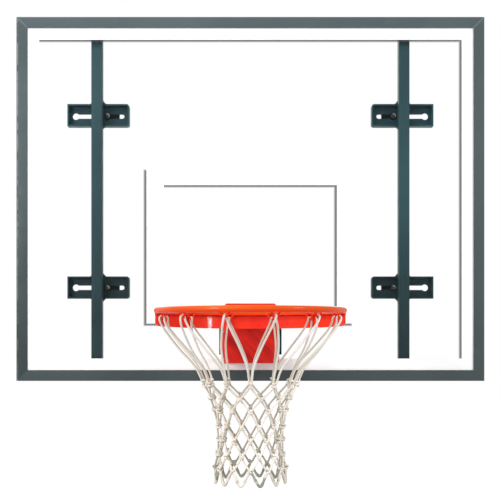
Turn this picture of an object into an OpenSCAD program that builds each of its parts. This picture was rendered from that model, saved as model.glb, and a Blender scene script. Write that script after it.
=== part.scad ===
// Framed glass basketball backboard with a sprung breakaway goal and a corded net.
// Millimetres. +X right, +Z up, and the board faces -Y.
// The origin is the middle of the four wall brackets, on their rear face.

/* [Board] */
// Overall width over the frame
board_w = 1371.6; // [1100:0.1:1830]
// Overall height over the frame
board_h = 1066.8; // [880:0.1:1300]
// Thickness of the tempered glass
glass_t = 12.7; // [8:0.1:16]

/* [Frame] */
// Width of the frame's front face
frame_face = 31.75; // [28:0.05:50]
// Wall of the frame's extruded section
frame_wall = 3; // [2:0.1:4]
// Distance from the frame's outer edge to the edge of the glass
glass_inset = 14.75; // [13:0.05:18]
// Rubber between the glass and the frame
gasket_t = 1.6; // [1:0.1:2.5]
// Length of a corner key's leg
key_leg = 75; // [60:1:120]

/* [Markings] */
// Width of the white lines
line_w = 50.8; // [40:0.1:60]
// Outside width of the target
target_w = 609.6; // [500:0.1:640]
// Outside height of the target
target_h = 457.2; // [380:0.1:480]
// Bottom of the target above the bottom of the board
target_rise = 168.3; // [140:0.1:200]
// Thickness of the fired-on lines
line_t = 0.3; // [0.2:0.05:0.5]

/* [Uprights and brackets] */
// Side of the square upright tubes behind the glass
upright_w = 31.75; // [28:0.05:45]
// Wall of the upright tubes
upright_wall = 3.2; // [2:0.1:4]
// Sideways spacing of the brackets, centre to centre
pattern_w = 908.05; // [700:0.05:1000]
// Vertical spacing of the brackets, centre to centre
pattern_h = 514.35; // [400:0.05:620]
// Length of a bracket
bracket_l = 184; // [176:1:260]
// Height of a bracket
bracket_h = 66; // [56:1:90]
// Depth of a bracket, from its rear face to the uprights
bracket_depth = 25.4; // [22:0.1:40]
// Plate thickness of a bracket
bracket_t = 4.8; // [3:0.1:6]
// Radius of the keyholes' large ends
keyhole_r = 10; // [9:0.1:11]
// Half the width of the slots
slot_r = 6.5; // [6:0.1:7]
// From the bracket's centre to the middle of the keyhole's large end
keyhole_at = 69.85; // [60:0.05:72]
// From the bracket's centre to the mounting bolt
bolt_at = 25.4; // [24:0.1:27]
// From the bracket's centre to the far end of the bolt's slot
slot_end = 75.5; // [70:0.1:78]
// Radius of the mounting bolts
bolt_r = 4.7625; // [4:0.0125:5]
// Length of the bolts behind the brackets
bolt_out = 30; // [20:1:60]

/* [Ring] */
// Inside diameter of the ring
ring_d = 457.2; // [440:0.1:470]
// Diameter of the ring's bar
ring_bar = 15.88; // [14:0.01:20]
// From the glass to the inside of the ring
ring_gap = 152.4; // [146:0.1:190]
// Top of the ring above the bottom of the board
ring_rise = 205; // [180:1:300]
// Thickness of the rear band
band_t = 4.8; // [3:0.1:6]
// Bottom of the rear band below the top of the ring
band_drop = 52.5; // [40:0.5:54]
// How much higher the band's bottom is at the sides of the ring
band_rise = 7.5; // [0:0.5:10]
// Length of the band's curved lower ends
band_round = 58; // [10:1:60]
// Half the angle of the ring that the band covers
band_angle = 93; // [80:1:110]
// Diameter of the net rod
rod_d = 5; // [4:0.1:6]

/* [Goal mounting] */
// Width of the back plate
plate_w = 168; // [160:1:190]
// Thickness of the back plate
plate_t = 4.8; // [4:0.1:8]
// Sideways spacing of the goal bolts
hole_w = 127; // [124:0.1:130]
// Vertical spacing of the goal bolts
hole_h = 101.6; // [95:0.1:105]
// Thickness of the rubber sheets on both sides of the glass
pad_t = 3.2; // [2:0.1:5]
// Width of the plate behind the glass
rear_plate_w = 184; // [170:1:220]
// Thickness of the plate behind the glass
rear_plate_t = 6.35; // [4:0.05:10]
// Radius of the goal bolts
goal_bolt_r = 4.7625; // [4:0.0125:5]

/* [Breakaway] */
// Pivot in front of the back plate
pivot_f = 20; // [18:0.5:24]
// Pivot below the top of the ring
pivot_drop = 14; // [13:0.5:17]
// Radius of the pivot pin
pin_r = 6.35; // [5:0.05:7]
// Rear face of the spring arm in front of the back plate
arm_f = 46; // [44:0.5:50]
// Springs below the top of the ring
spring_drop = 112; // [108:0.5:116]
// Wire diameter of the springs
spring_wire = 4.5; // [3:0.1:4.6]
// Mean diameter of the springs
spring_d = 25.5; // [20:0.5:28]
// Sheet thickness of the cover
cover_t = 2.4; // [1.5:0.1:3]

/* [Net] */
// Diameter of the net cord
cord_d = 5.5; // [4:0.1:6]
// Diameter of the doubled hem cord
hem_d = 8.5; // [7:0.1:10]

/* [Hidden] */
$fn = 48;

// Gap between pieces that slide together
fit = 0.15;
// Overlap used when shapes are joined or cut
eps = 1;

// Frame section: a front lip, a pocket for the glass and a hollow box behind it
pocket_d = glass_t + 2 * gasket_t + fit;
pocket_floor = glass_inset - gasket_t - fit;
frame_depth = frame_wall + pocket_d + upright_w;
face_y = -(bracket_depth + frame_depth);
glass_y = face_y + frame_wall + gasket_t;
box_y = face_y + frame_wall + pocket_d;
rear_y = -bracket_depth;
glass_w = board_w - 2 * glass_inset;
glass_h = board_h - 2 * glass_inset;
gasket_leg = frame_face - glass_inset - 3.75;
opening_w = board_w - 2 * frame_face;
opening_h = board_h - 2 * frame_face;
hollow = frame_face - 2 * frame_wall;
hollow_d = upright_w - 2 * frame_wall;

// Corner keys and their screws
key_fit = 0.2;
key_screw_r = 3;
key_screw_at = key_leg - 20;
key_screw_l = 18;
pan_head_r = 5.5;
pan_head_h = 3.5;

// Uprights, their end plugs, bolts and pads
upright_x = pattern_w / 2;
upright_bore = upright_w - 2 * upright_wall;
upright_l = opening_h;
plug_h = 30;
plug_bolt_r = 5;
plug_bolt_l = 22;
plug_head_r = 8;
plug_head_h = 6;
plug_screw_l = 6;
pad_w = 25;
pad_h = 28;

// Brackets
bracket_round = 8;
keyhole_slot_end = 17.5;
block_end = 61;
block_fit = 0.2;
weld_tab_t = 4;
weld_tab_h = 7.5;
washer_r = 10.5;
washer_t = 1.6;
socket_head_r = 7.15;
socket_head_h = 9.5;
socket_r = 3.97;
socket_depth = 5;
neck_step = 0.1;

// Goal: f is the distance in front of the back plate, z is measured from the top of the ring
ring_z = -board_h / 2 + ring_rise;
plate_y = glass_y - pad_t - plate_t;
plate_top = 22;
plate_bottom = -153;
plate_chamfer = 13.5;
hole_top = -8;
rear_plate_top = 12;
rear_plate_bottom = -128;
rear_pad_inset = 9;
hole_fit = 0.35;
bushing_r = 10.9;
glass_hole_r = 11;
nut_r = 8.25;
nut_h = 8.3;
head_h = 6.4;
goal_washer_r = 10.3;
goal_washer_t = 2;
ear_in = 46;
ear_t = 5;
ear_r = 14;
running = 0.05;

// Ring and its carrier
ring_r = (ring_d + ring_bar) / 2;
bar_r = ring_bar / 2;
ring_f = ring_gap + ring_d / 2 - pad_t - plate_t;
weld_gap = 0.15;
band_in = ring_r - 0.1;
band_out = band_in + band_t;
band_end_h = 11;
neck_half = 43;
neck_wall = 5;
neck_top = -2;
neck_floor = -22;
barrel_r = 13;
bush_r = 8;
bush_l = 20;
bush_flange_r = 11;
bush_flange_t = 1.8;
arm_t = 6;
arm_half = 40;
arm_bottom = -140;
stud_x = 22;
stud_slot_r = 5.6;
stud_slot_up = 6.2;
stud_end = 66;
stop_washer_t = 2.5;
stop_washer_r = 11;
stop_nut_h = 8;
spring_turns = 4;
clip_t = 1.2;
clip_at = ear_in + ear_t + 0.4;
clip_r = 10;
groove_r = 5.2;
pin_half = 56;

// Cover: the rear and front outlines as half widths, distances and heights
cover_rear_half = 76.5;
cover_top_half = 76;
cover_low_half = 70;
cover_top_f = 88;
cover_low_f = 62;
cover_top = -48;
cover_low = -150;
cover_rear_top = -30;
cover_screw_x = 80.4;
cover_screw_z = [-60, -140];
cover_tab = 14;
cover_screw_r = 2;
cover_head_r = 3.4;

// Net rod: it lies against the inside of the ring's bar and dips at each hook
hooks = 12;
rod_in = 9;
rod_r = ring_r - rod_in;
rod_z = -bar_r - sqrt(pow(bar_r + rod_d / 2 + 0.08, 2) - pow(rod_in, 2));
dip = 14;
dip_half = 3.6;

// Net route, chosen by hand: depth below the top of the ring, radius, and steps round the ring.
// A step is half the angle between two hooks. The rows of crossings are at whole steps.
cord_route = [
    [21.6, 227.5, 0], [23.9, 231.9, 0.005], [28, 233.1, 0.02], [38, 230, 0.07], [60, 216, 0.2],
    [105, 180, 0.5], [150, 140, 0.8], [193, 119, 1], [228, 103, 2], [259, 92, 3],
    [299, 86, 4], [334, 82, 5], [372, 85, 6], [404, 90.6, 6.87]
];
// The other leg of each cord runs inside the first one by these amounts
cord_inside = [0, 8.9, 11.2, 9.5, 6, 6, 6, 6, 6, 6, 6, 6, 6, 6];
cord_sides = 8;
cord_sub = 2;
hem_route = [[407.3, 88.4], [441, 91]];
hem_sub = 3;

// General shapes

// A tube swept through the points, with a fixed direction that its sides start from
function unit(v) = v / norm(v);
function tangent(p, i, n) =
    unit(p[min(i + 1, n - 1)] - p[max(i - 1, 0)]);
function tube_ring(p, t, side, r, sides) =
    let (a = unit(cross(t, side)), b = cross(t, a))
    [for (k = [0:sides - 1]) p + r * (a * cos(360 * k / sides) + b * sin(360 * k / sides))];
function flat(list) = [for (part = list) for (item = part) item];
function side_faces(rings, sides, closed) =
    [for (i = [0:rings - (closed ? 1 : 2)]) for (k = [0:sides - 1])
        let (j = (i + 1) % rings, m = (k + 1) % sides)
        for (face = [
            [i * sides + k, j * sides + k, i * sides + m],
            [i * sides + m, j * sides + k, j * sides + m]]) face];
function cap_faces(rings, sides) = [
    [for (k = [0:sides - 1]) k],
    [for (k = [sides - 1:-1:0]) (rings - 1) * sides + k]
];

module tube_along(path, side, r, sides) {
    n = len(path);
    points = flat([for (i = [0:n - 1]) tube_ring(path[i], tangent(path, i, n), side, r, sides)]);
    polyhedron(points, concat(side_faces(n, sides, false), cap_faces(n, sides)), convexity = 10);
}

// A closed tube round the Z axis: each point is radius, angle, height
module tube_loop(path, r, sides) {
    n = len(path);
    at = [for (p = path) [p[0] * sin(p[1]), -p[0] * cos(p[1]), p[2]]];
    points = flat([for (i = [0:n - 1])
        tube_ring(at[i], unit(at[(i + 1) % n] - at[(i + n - 1) % n]), [0, 0, 1], r, sides)]);
    polyhedron(points, side_faces(n, sides, true), convexity = 10);
}

// Smooth curve through the points of a list
function curve_at(p, i, u) =
    let (n = len(p), a = p[max(i - 1, 0)], b = p[i], c = p[i + 1], d = p[min(i + 2, n - 1)])
    0.5 * (2 * b + (c - a) * u + (2 * a - 5 * b + 4 * c - d) * u * u
        + (3 * b - a - 3 * c + d) * u * u * u);
function smooth(p, sub) = concat(
    [for (i = [0:len(p) - 2]) for (s = [0:sub - 1]) curve_at(p, i, s / sub)],
    [p[len(p) - 1]]
);

// A solid with eight corners: four at the rear, then four at the front, each going round
module block8(p) {
    polyhedron(p, [
        [0, 1, 2], [0, 2, 3], [4, 6, 5], [4, 7, 6],
        [0, 5, 1], [0, 4, 5], [1, 6, 2], [1, 5, 6],
        [2, 7, 3], [2, 6, 7], [3, 4, 0], [3, 7, 4]
    ]);
}

// Turns a drawing in X and Z into a plate that goes forward from y = 0
module plate_xz(t) {
    rotate([90, 0, 0]) linear_extrude(t) children();
}

// A cylinder along Y from front to back
module rod_y(r, front, back, sides = $fn) {
    translate([0, back, 0]) rotate([90, 0, 0]) cylinder(r = r, h = back - front, $fn = sides);
}

// A cylinder along X between two places
module rod_x(r, from, to) {
    translate([from, 0, 0]) rotate([0, 90, 0]) cylinder(r = r, h = to - from);
}

// Puts children at the four corners of a rectangle, mirrored so that each faces its corner
module four_corners() {
    for (mx = [0, 1]) for (mz = [0, 1]) mirror([mx, 0, 0]) mirror([0, 0, mz]) children();
}

module at_goal() {
    translate([0, plate_y, ring_z]) children();
}

// Board

module rectangle_ring(w, h, line) {
    difference() {
        square([w, h], center = true);
        square([w - 2 * line, h - 2 * line], center = true);
    }
}

module at_goal_holes() {
    for (x = [-hole_w / 2, hole_w / 2]) for (z = [hole_top, hole_top - hole_h])
        translate([x, 0, z]) children();
}

module glass_pane() {
    color([0.8, 0.9, 0.88, 0.35]) difference() {
        translate([-glass_w / 2, glass_y, -glass_h / 2]) cube([glass_w, glass_t, glass_h]);
        translate([0, 0, ring_z]) at_goal_holes()
            rod_y(glass_hole_r, glass_y - eps, glass_y + glass_t + eps);
    }
}

// The lines stop at the edge of the rubber sheet under the goal's plate
module plate_window() {
    translate([-plate_w / 2 - fit, ring_z + plate_bottom - fit])
        square([plate_w + 2 * fit, plate_top - plate_bottom + 2 * fit]);
}

module border_marking() {
    margin = frame_face - glass_inset - gasket_leg;
    out_w = opening_w + 2 * margin - 2 * key_fit;
    out_h = opening_h + 2 * margin - 2 * key_fit;
    in_w = glass_w - 2 * line_w;
    in_h = glass_h - 2 * line_w;
    color("white") translate([0, glass_y, 0]) plate_xz(line_t) difference() {
        square([out_w, out_h], center = true);
        square([in_w, in_h], center = true);
        plate_window();
    }
}

module target_marking() {
    mid = -board_h / 2 + target_rise + target_h / 2;
    color("white") translate([0, glass_y, 0]) plate_xz(line_t) difference() {
        translate([0, mid]) rectangle_ring(target_w, target_h, line_w);
        plate_window();
    }
}

module glazing_gasket() {
    outer_w = glass_w + 2 * gasket_t;
    outer_h = glass_h + 2 * gasket_t;
    color([0.08, 0.08, 0.08]) difference() {
        translate([0, glass_y + glass_t + gasket_t, 0]) plate_xz(glass_t + 2 * gasket_t)
            rectangle_ring(outer_w, outer_h, gasket_t + gasket_leg);
        translate([0, glass_y + glass_t, 0]) plate_xz(glass_t) square([glass_w, glass_h], center = true);
    }
}

// Frame section: x goes inward from the outer edge, y goes back from the front face
module frame_section() {
    difference() {
        union() {
            square([frame_face, frame_wall]);
            square([frame_wall, frame_depth]);
            translate([pocket_floor - frame_wall, 0]) square([frame_wall, frame_wall + pocket_d + eps]);
            translate([0, frame_wall + pocket_d]) square([frame_face, upright_w]);
        }
        translate([frame_wall, 2 * frame_wall + pocket_d]) square([hollow, hollow_d]);
    }
}

// One side of the frame, drawn as the top one, with mitred ends
module frame_side(length, half) {
    difference() {
        intersection() {
            translate([-length / 2, face_y, half]) rotate([0, 90, 0])
                linear_extrude(length) frame_section();
            translate([0, rear_y + eps, half]) plate_xz(frame_depth + 2 * eps) polygon([
                [-length / 2, 0], [length / 2, 0],
                [length / 2 - frame_face, -frame_face], [-length / 2 + frame_face, -frame_face]
            ]);
        }
        for (side = [-1, 1])
            translate([side * (length / 2 - key_screw_at), 0, half - frame_face / 2])
                rod_y(key_screw_r + hole_fit, rear_y - 2 * frame_wall, rear_y + eps);
    }
}

module frame_rail() {
    difference() {
        frame_side(board_w, board_h / 2);
        for (x = [-upright_x, upright_x])
            translate([x, box_y + upright_w / 2, board_h / 2 - frame_face - eps])
                cylinder(r = plug_bolt_r + hole_fit, h = frame_wall + 2 * eps);
    }
}

module frame_top_rail() {
    color([0.35, 0.4, 0.42]) frame_rail();
}

module frame_bottom_rail() {
    color([0.33, 0.38, 0.4]) mirror([0, 0, 1]) frame_rail();
}

module frame_left_stile() {
    color([0.34, 0.39, 0.4]) rotate([0, -90, 0]) frame_side(board_h, board_w / 2);
}

module frame_right_stile() {
    color([0.37, 0.42, 0.43]) rotate([0, 90, 0]) frame_side(board_h, board_w / 2);
}

// Screws through the rear wall of the frame into one corner key
module at_key_screws() {
    corner = [board_w / 2, rear_y, board_h / 2];
    translate(corner - [key_screw_at, 0, frame_face / 2]) children();
    translate(corner - [frame_face / 2, 0, key_screw_at]) children();
}

module corner_keys() {
    side = hollow - 2 * key_fit;
    depth = hollow_d - 2 * key_fit;
    inset = frame_wall + key_fit;
    leg = key_leg - inset;
    color([0.7, 0.7, 0.72]) four_corners() difference() {
        translate([board_w / 2 - inset, rear_y - inset, board_h / 2 - inset]) plate_xz(depth)
            polygon([[0, 0], [-leg, 0], [-leg, -side], [-side, -side], [-side, -leg], [0, -leg]]);
        at_key_screws() rod_y(key_screw_r + running, -key_screw_l - eps, eps);
    }
}

module pan_screw(r, length, head_r, head_h) {
    rod_y(r, -length, 0);
    rod_y(head_r, 0, head_h);
}

module corner_screws() {
    color([0.3, 0.3, 0.3]) four_corners() at_key_screws()
        pan_screw(key_screw_r, key_screw_l, pan_head_r, pan_head_h);
}

// Uprights and brackets

module upright() {
    translate([0, box_y + upright_w / 2, 0]) difference() {
        cube([upright_w, upright_w, upright_l], center = true);
        cube([upright_bore, upright_bore, upright_l + 2 * eps], center = true);
        for (z = [-1, 1]) translate([0, 0, z * (upright_l - plug_h) / 2])
            rod_y(key_screw_r + hole_fit, 0, upright_w);
    }
}

module left_upright() {
    color([0.24, 0.34, 0.36]) translate([-upright_x, 0, 0]) upright();
}

module right_upright() {
    color([0.24, 0.34, 0.36]) translate([upright_x, 0, 0]) upright();
}

// Puts children at the top end of each upright, and mirrored at each lower end
module at_upright_ends() {
    four_corners() translate([upright_x, box_y + upright_w / 2, upright_l / 2]) children();
}

module upright_plugs() {
    side = upright_bore - 2 * key_fit;
    color([0.7, 0.7, 0.72]) at_upright_ends() difference() {
        translate([-side / 2, -side / 2, -plug_h]) cube([side, side, plug_h]);
        translate([0, 0, -plug_bolt_l - eps]) cylinder(r = plug_bolt_r + running, h = plug_bolt_l + 2 * eps);
        translate([0, side / 2, -plug_h / 2])
            rod_y(key_screw_r + running, -plug_screw_l - eps, eps);
    }
}

module upright_bolts() {
    color([0.6, 0.6, 0.62]) at_upright_ends() {
        translate([0, 0, -plug_bolt_l]) cylinder(r = plug_bolt_r, h = plug_bolt_l + frame_wall + eps);
        translate([0, 0, frame_wall]) cylinder(r = plug_head_r, h = plug_head_h);
    }
}

module upright_screws() {
    length = upright_wall + plug_screw_l;
    color([0.3, 0.3, 0.3]) at_upright_ends() translate([0, upright_w / 2, -plug_h / 2])
        pan_screw(key_screw_r, length, pan_head_r, pan_head_h);
}

module upright_pads() {
    gap = box_y - glass_y - glass_t;
    color([0.08, 0.08, 0.08]) four_corners()
        translate([upright_x - pad_w / 2, glass_y + glass_t, opening_h / 2 - pad_h - 2])
            cube([pad_w, gap, pad_h]);
}

// Bracket outline grown inward by inset, square at the outer end and round at the inner one
module bracket_outline(inset, outer) {
    half = bracket_h / 2 - inset;
    inner = bracket_l / 2 - inset;
    r = bracket_round - inset;
    translate([-outer, -half]) square([outer + inner - r, 2 * half]);
    translate([0, -half + r]) square([inner, 2 * (half - r)]);
    for (z = [-half + r, half - r]) translate([inner - r, z]) circle(r);
}

module slot_outline(r, from, to) {
    translate([from + r, -r]) square([to - from - 2 * r, 2 * r]);
    translate([from + r, 0]) circle(r);
    translate([to - r, 0]) circle(r);
}

module keyhole_outline() {
    translate([-keyhole_at, 0]) circle(keyhole_r);
    slot_outline(slot_r, -keyhole_at, -keyhole_slot_end);
}

// A bracket as it stands on the left: a tray that opens to the front
module bracket() {
    tab_half = upright_w / 2 + weld_tab_h;
    difference() {
        union() {
            difference() {
                plate_xz(bracket_depth) bracket_outline(0, bracket_l / 2);
                translate([0, -bracket_t, 0]) plate_xz(bracket_depth)
                    bracket_outline(bracket_t, bracket_l / 2 - bracket_t);
            }
            for (side = [0, 1]) mirror([0, 0, side])
                translate([0, weld_tab_t - bracket_depth, 0]) plate_xz(weld_tab_t) polygon([
                    [-tab_half, bracket_h / 2 - bracket_t / 2], [-tab_half, bracket_h / 2],
                    [-upright_w / 2, bracket_h / 2 + weld_tab_h],
                    [upright_w / 2, bracket_h / 2 + weld_tab_h],
                    [tab_half, bracket_h / 2], [tab_half, bracket_h / 2 - bracket_t / 2]
                ]);
        }
        translate([0, eps, 0]) plate_xz(bracket_t + 2 * eps) {
            keyhole_outline();
            slot_outline(slot_r, bolt_at - slot_r, slot_end);
        }
    }
}

module place_bracket(right, z) {
    color([0.16, 0.25, 0.27]) mirror([right, 0, 0]) translate([-upright_x, 0, z * pattern_h / 2]) bracket();
}

module upper_left_bracket() {
    place_bracket(0, 1);
}

module upper_right_bracket() {
    place_bracket(1, 1);
}

module lower_left_bracket() {
    place_bracket(0, -1);
}

module lower_right_bracket() {
    place_bracket(1, -1);
}

// Puts children at the four mounting bolts
module at_mounting_bolts() {
    four_corners() translate([upright_x - bolt_at, 0, pattern_h / 2]) children();
}

module slot_blocks() {
    r = slot_r - block_fit;
    color([0.05, 0.05, 0.05]) at_mounting_bolts() plate_xz(bracket_t) difference() {
        union() {
            circle(r);
            translate([-(block_end - bolt_at), -r]) square([block_end - bolt_at, 2 * r]);
        }
        circle(bolt_r + hole_fit);
    }
}

module mounting_washers() {
    color([0.1, 0.1, 0.1]) at_mounting_bolts() difference() {
        rod_y(washer_r, -bracket_t - washer_t, -bracket_t);
        rod_y(bolt_r + hole_fit, -bracket_t - 2 * washer_t, 0);
    }
}

module mounting_bolts() {
    seat = -bracket_t - washer_t;
    color([0.3, 0.36, 0.37]) at_mounting_bolts() difference() {
        union() {
            rod_y(bolt_r, -eps, bolt_out);
            rod_y(bolt_r + neck_step, seat, 0);
            rod_y(socket_head_r, seat - socket_head_h, seat);
        }
        rod_y(socket_r, seat - socket_head_h - eps, seat - socket_head_h + socket_depth, 6);
    }
}

// Goal mounting

module plate_outline(w, top, bottom, chamfer) {
    polygon([
        [-w / 2, bottom], [w / 2, bottom], [w / 2, top - chamfer], [w / 2 - chamfer, top],
        [-w / 2 + chamfer, top], [-w / 2, top - chamfer]
    ]);
}

// A plate behind or before the glass, with holes for the goal bolts
module bolted_plate(w, top, bottom, chamfer, t) {
    difference() {
        plate_xz(t) plate_outline(w, top, bottom, chamfer);
        at_goal_holes() rod_y(goal_bolt_r + hole_fit, -t - eps, eps);
    }
}

// A point of the goal as x, distance in front of the back plate, and height
function goal(x, f, z) = [x, -f, z];
pad_front_f = -plate_t;
rear_pad_f = -plate_t - pad_t - glass_t;
rear_plate_f = rear_pad_f - pad_t;
washer_f = rear_plate_f - rear_plate_t;
nut_f = washer_f - goal_washer_t;

module front_rubber_pad() {
    color([0.07, 0.07, 0.07]) at_goal() translate(goal(0, pad_front_f - pad_t, 0))
        bolted_plate(plate_w, plate_top, plate_bottom, plate_chamfer, pad_t);
}

module rear_rubber_pad() {
    color([0.07, 0.07, 0.07]) at_goal() translate(goal(0, rear_plate_f, 0))
        bolted_plate(rear_plate_w - 2 * rear_pad_inset, rear_plate_top, rear_plate_bottom, 0.5, pad_t);
}

module rear_plate() {
    color([0.16, 0.25, 0.27]) at_goal() translate(goal(0, washer_f, 0))
        bolted_plate(rear_plate_w, rear_plate_top, rear_plate_bottom, 0.5, rear_plate_t);
}

module glass_bushings() {
    color([0.9, 0.9, 0.86]) at_goal() at_goal_holes() translate(goal(0, rear_pad_f, 0)) difference() {
        rod_y(bushing_r, -glass_t, 0);
        rod_y(goal_bolt_r + hole_fit, -glass_t - eps, eps);
    }
}

module goal_bolts() {
    length = -nut_f + nut_h + 4;
    color([0.65, 0.65, 0.67]) at_goal() at_goal_holes() {
        rod_y(goal_bolt_r, -eps, length);
        rod_y(nut_r, -head_h, 0, 6);
    }
}

module ring_washer(r, bore, t) {
    difference() {
        rod_y(r, -t, 0);
        rod_y(bore, -t - eps, eps);
    }
}

module hex_nut(bore, h) {
    difference() {
        rod_y(nut_r, -h, 0, 6);
        rod_y(bore, -h - eps, eps);
    }
}

module goal_washers() {
    color([0.65, 0.65, 0.67]) at_goal() at_goal_holes() translate(goal(0, nut_f, 0))
        ring_washer(goal_washer_r, goal_bolt_r + hole_fit, goal_washer_t);
}

module goal_nuts() {
    color([0.65, 0.65, 0.67]) at_goal() at_goal_holes() translate(goal(0, nut_f - nut_h, 0))
        hex_nut(goal_bolt_r + running, nut_h);
}

module ear() {
    rotate([90, 0, 90]) linear_extrude(ear_t) difference() {
        union() {
            translate([-pivot_f, -pivot_drop]) circle(ear_r);
            translate([-pivot_f, -pivot_drop - ear_r]) square([pivot_f + eps, 2 * ear_r]);
        }
        translate([-pivot_f, -pivot_drop]) circle(pin_r + running);
    }
}

module at_cover_screws() {
    for (side = [-1, 1]) for (z = cover_screw_z) translate([side * cover_screw_x, 0, z]) children();
}

module at_studs() {
    for (side = [-1, 1]) translate([side * stud_x, 0, -spring_drop]) children();
}

module back_plate() {
    color([0.85, 0.15, 0.08]) at_goal() difference() {
        union() {
            translate([0, plate_t, 0])
                bolted_plate(plate_w, plate_top, plate_bottom, plate_chamfer, plate_t);
            translate([ear_in, 0, 0]) ear();
            translate([-ear_in - ear_t, 0, 0]) ear();
        }
        at_cover_screws() rod_y(cover_screw_r + running, -eps, plate_t + eps);
        at_studs() rod_y(goal_bolt_r + running, -eps, plate_t + eps);
    }
}

// Half width and distance of the cover's front face at a height, measured inside a wall
function cover_share(z) = (z - cover_low) / (cover_top - cover_low);
function cover_f(z, wall) = cover_low_f + (cover_top_f - cover_low_f) * cover_share(z) - wall;
function cover_half(z, wall) = cover_low_half + (cover_top_half - cover_low_half) * cover_share(z) - wall;
function cover_corners(wall, rear, rear_top, top, low) = [
    goal(-cover_rear_half + wall, rear, low), goal(cover_rear_half - wall, rear, low),
    goal(cover_rear_half - wall, rear, rear_top), goal(-cover_rear_half + wall, rear, rear_top),
    goal(-cover_half(low, wall), cover_f(low, wall), low),
    goal(cover_half(low, wall), cover_f(low, wall), low),
    goal(cover_half(top, wall), cover_f(top, wall), top),
    goal(-cover_half(top, wall), cover_f(top, wall), top)
];

module front_cover() {
    color([0.93, 0.16, 0.1]) at_goal() difference() {
        union() {
            difference() {
                block8(cover_corners(0, 0, cover_rear_top, cover_top, cover_low));
                block8(cover_corners(cover_t, -eps, cover_rear_top + 30, cover_top + 30,
                    cover_low + cover_t));
            }
            for (side = [0, 1]) mirror([side, 0, 0]) for (z = cover_screw_z)
                translate([cover_rear_half - cover_t / 2, -cover_t, z - cover_tab / 2])
                    cube([plate_w / 2 - cover_rear_half + cover_t / 2, cover_t, cover_tab]);
        }
        at_cover_screws() rod_y(cover_screw_r + hole_fit, -cover_t - eps, eps);
    }
}

module cover_screws() {
    color([0.75, 0.75, 0.77]) at_goal() at_cover_screws() {
        rod_y(cover_screw_r, -cover_t - eps, plate_t - 0.5);
        rod_y(cover_head_r, -2 * cover_t, -cover_t);
    }
}

// Breakaway

module at_pivot() {
    at_goal() translate(goal(0, pivot_f, -pivot_drop)) children();
}

module pivot_pin() {
    color([0.7, 0.7, 0.72]) at_pivot() difference() {
        rod_x(pin_r, -pin_half, pin_half);
        for (side = [0, 1]) mirror([side, 0, 0]) translate([clip_at - 0.1, 0, 0]) difference() {
            rod_x(pin_r + eps, 0, clip_t + 0.2);
            rod_x(groove_r, -eps, clip_t + eps);
        }
    }
}

module pin_clips() {
    color([0.2, 0.2, 0.2]) at_pivot() for (side = [0, 1]) mirror([side, 0, 0])
        translate([clip_at, 0, 0]) difference() {
            rod_x(clip_r, 0, clip_t);
            rod_x(groove_r + running, -eps, clip_t + eps);
            translate([-eps, -groove_r, -clip_r - eps]) cube([clip_t + 2 * eps, 2 * groove_r, clip_r + eps]);
        }
}

module stop_studs() {
    color([0.7, 0.7, 0.72]) at_goal() at_studs() rod_y(goal_bolt_r, -stud_end, plate_t);
}

module stop_washers() {
    color([0.7, 0.7, 0.72]) at_goal() at_studs() translate(goal(0, arm_f + arm_t, 0))
        ring_washer(stop_washer_r, goal_bolt_r + hole_fit, stop_washer_t);
}

module stop_nuts() {
    color([0.7, 0.7, 0.72]) at_goal() at_studs() translate(goal(0, arm_f + arm_t + stop_washer_t, 0))
        hex_nut(goal_bolt_r + running, stop_nut_h);
}

module springs() {
    seat = 0.3;
    wire_r = spring_wire / 2;
    travel = arm_f - 2 * seat - spring_wire;
    steps = 14;
    coil = [for (i = [0:spring_turns * steps])
        let (a = 360 * i / steps)
        [spring_d / 2 * cos(a), -(seat + wire_r + travel * i / (spring_turns * steps)),
            spring_d / 2 * sin(a)]];
    color([0.15, 0.15, 0.16]) at_goal() at_studs() tube_along(coil, [0, 1, 0], wire_r, 8);
}

// Ring body

module at_ring() {
    at_goal() translate(goal(0, ring_f, 0)) children();
}

module bar_torus(r) {
    translate([0, 0, -bar_r]) rotate_extrude($fn = 96) translate([ring_r, 0]) circle(r);
}

module ring() {
    color([0.95, 0.3, 0.08]) at_ring() bar_torus(bar_r);
}

// The band runs round the rear of the ring. Its bottom rises towards both sides, and its ends curve up
module band_sector(r_in, r_out, top, bottom, half) {
    rotate([0, 0, 90 - half]) translate([0, 0, bottom])
        rotate_extrude(angle = 2 * half, $fn = 96) translate([r_in, 0]) square([r_out - r_in, top - bottom]);
}

module rear_band() {
    top = -ring_bar - weld_gap;
    round_angle = band_round / band_in * 180 / PI;
    sag = band_in * (1 - cos(round_angle));
    out = band_round + 3;
    low = -band_end_h - band_rise - 3;
    end_z = band_rise * (1 - cos(band_angle - round_angle)) - band_drop;
    corner = [for (k = [0:8]) [band_round * sin(11.25 * k), -band_end_h * cos(11.25 * k)]];
    cut_h = 4 * band_rise + eps;
    color([0.85, 0.12, 0.07]) at_ring() difference() {
        band_sector(band_in, band_out, top, -band_drop, band_angle);
        translate([0, 0, band_rise - band_drop]) rotate([-asin(band_rise / band_in), 0, 0])
            translate([-ring_d, -ring_d, -cut_h]) cube([2 * ring_d, 2 * ring_d, cut_h]);
        for (side = [0, 1]) mirror([side, 0, 0]) rotate([0, 0, round_angle - band_angle])
            translate([0, band_out + 3, end_z + band_end_h])
                plate_xz(band_t + sag + 6) polygon(concat(corner, [[out, 0], [out, low], [0, low]]));
    }
}

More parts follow.
